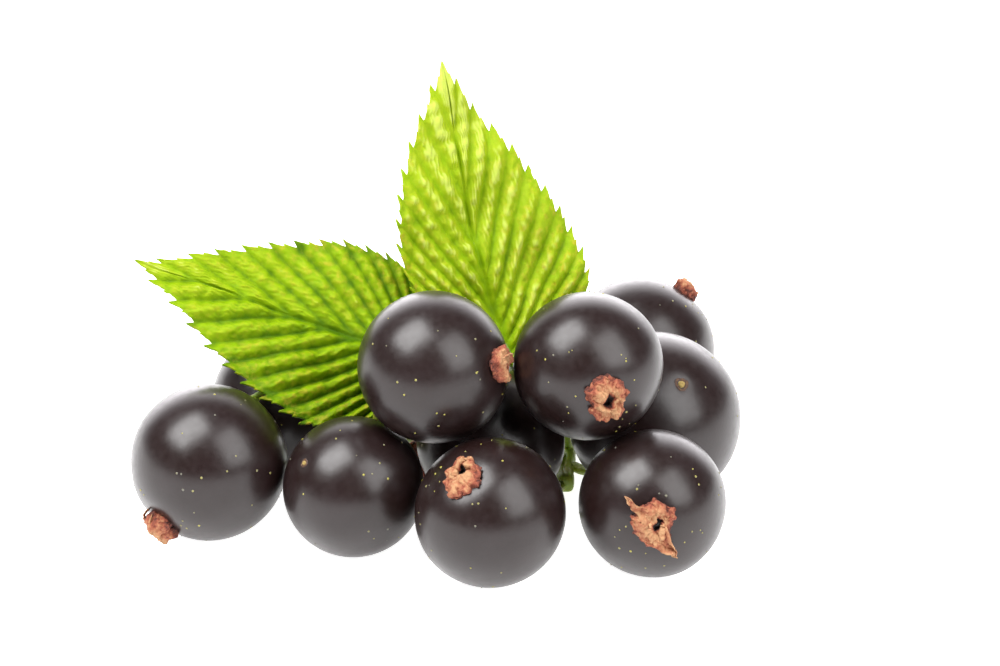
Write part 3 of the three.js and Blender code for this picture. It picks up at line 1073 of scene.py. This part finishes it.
def build_floor():
    """A pale, faintly glowing sheet of paper under the sprig."""
    corners = [(-FLOOR_HALF, -FLOOR_HALF, 0), (FLOOR_HALF, -FLOOR_HALF, 0), (FLOOR_HALF, FLOOR_HALF, 0),
               (-FLOOR_HALF, FLOOR_HALF, 0)]
    mesh = bpy.data.meshes.new("floor")
    mesh.from_pydata(corners, [], [(0, 1, 2, 3)])
    paper = Recipe("floor_paper", Roughness=0.9)
    paper.colour(paper.mix(paper.noise(20 * MM, 2.0), (0.70, 0.70, 0.70), (0.73, 0.73, 0.73)))
    paper.shader.inputs["Emission Color"].default_value = (1.0, 1.0, 1.0, 1.0)
    paper.shader.inputs["Emission Strength"].default_value = FLOOR_GLOW
    mesh.materials.append(paper.material)
    floor = bpy.data.objects.new("floor", mesh)
    scene.collection.objects.link(floor)


def add_soft_box(name, middle, direction, width, height, radiance):
    """A soft box of an even brightness that faces middle from direction."""
    light = bpy.data.lights.new(name, "AREA")
    light.shape = "RECTANGLE"
    light.size = width
    light.size_y = height
    light.energy = math.pi * width * height * radiance
    lamp = bpy.data.objects.new(name, light)
    lamp.location = middle + Vector(direction).normalized() * LIGHT_DISTANCE
    lamp.rotation_euler = (middle - lamp.location).to_track_quat("-Z", "Y").to_euler()
    scene.collection.objects.link(lamp)


def build_world():
    """White where the camera sees it. As light, it is dim all round and bright behind, for the pale rims."""
    world = bpy.data.worlds.new("studio")
    scene.world = world
    world.use_nodes = True
    tree = world.node_tree
    lighting = tree.nodes["Background"]
    lighting.inputs["Color"].default_value = (1.0, 0.97, 1.0, 1.0)
    direction = tree.nodes.new("ShaderNodeTexCoord")
    split = tree.nodes.new("ShaderNodeSeparateXYZ")
    brightness = tree.nodes.new("ShaderNodeMapRange")
    for socket, value in (("From Min", 0.6), ("From Max", 1.0), ("To Min", 0.1), ("To Max", 7.0)):
        brightness.inputs[socket].default_value = value
    tree.links.new(direction.outputs["Generated"], split.inputs["Vector"])
    tree.links.new(split.outputs["Y"], brightness.inputs["Value"])
    tree.links.new(brightness.outputs["Result"], lighting.inputs["Strength"])
    backdrop = tree.nodes.new("ShaderNodeBackground")
    backdrop.inputs["Color"].default_value = (1.0, 1.0, 1.0, 1.0)
    backdrop.inputs["Strength"].default_value = 1.0
    rays = tree.nodes.new("ShaderNodeLightPath")
    choose = tree.nodes.new("ShaderNodeMixShader")
    tree.links.new(rays.outputs["Is Camera Ray"], choose.inputs["Fac"])
    tree.links.new(lighting.outputs["Background"], choose.inputs[1])
    tree.links.new(backdrop.outputs["Background"], choose.inputs[2])
    tree.links.new(choose.outputs["Shader"], tree.nodes["World Output"].inputs["Surface"])


def add_camera():
    """A long lens from the front and above, aimed at the middle of the bunch and its leaves."""
    towards_camera = Vector((0.0, -math.cos(VIEW_ELEVATION), math.sin(VIEW_ELEVATION)))
    camera_up = Vector((0.0, math.sin(VIEW_ELEVATION), math.cos(VIEW_ELEVATION)))
    aimed_at = Vector(berries["front"].middle) + Vector((AIM_RIGHT, 0.0, 0.0)) + camera_up * AIM_UP
    camera_data = bpy.data.cameras.new("camera")
    camera_data.sensor_width = 36.0
    camera_data.lens = 205.0
    camera_data.clip_start = 0.01
    camera = bpy.data.objects.new("camera", camera_data)
    camera.location = aimed_at + towards_camera * VIEW_DISTANCE
    camera.rotation_euler = (-towards_camera).to_track_quat("-Z", "Y").to_euler()
    scene.collection.objects.link(camera)
    scene.camera = camera


low, high = (Vector(corner) for corner in cad_box)
sprig_middle = (low + high) / 2
build_floor()
add_soft_box("soft_box_left", sprig_middle, (-0.47, -0.18, 0.86), 0.32, 0.43, 13.5)
add_soft_box("soft_box_right", sprig_middle, (0.59, -0.49, 0.64), 0.38, 0.5, 6.0)
build_world()
add_camera()
scene.view_settings.view_transform = "Standard"
scene.view_settings.look = "None"
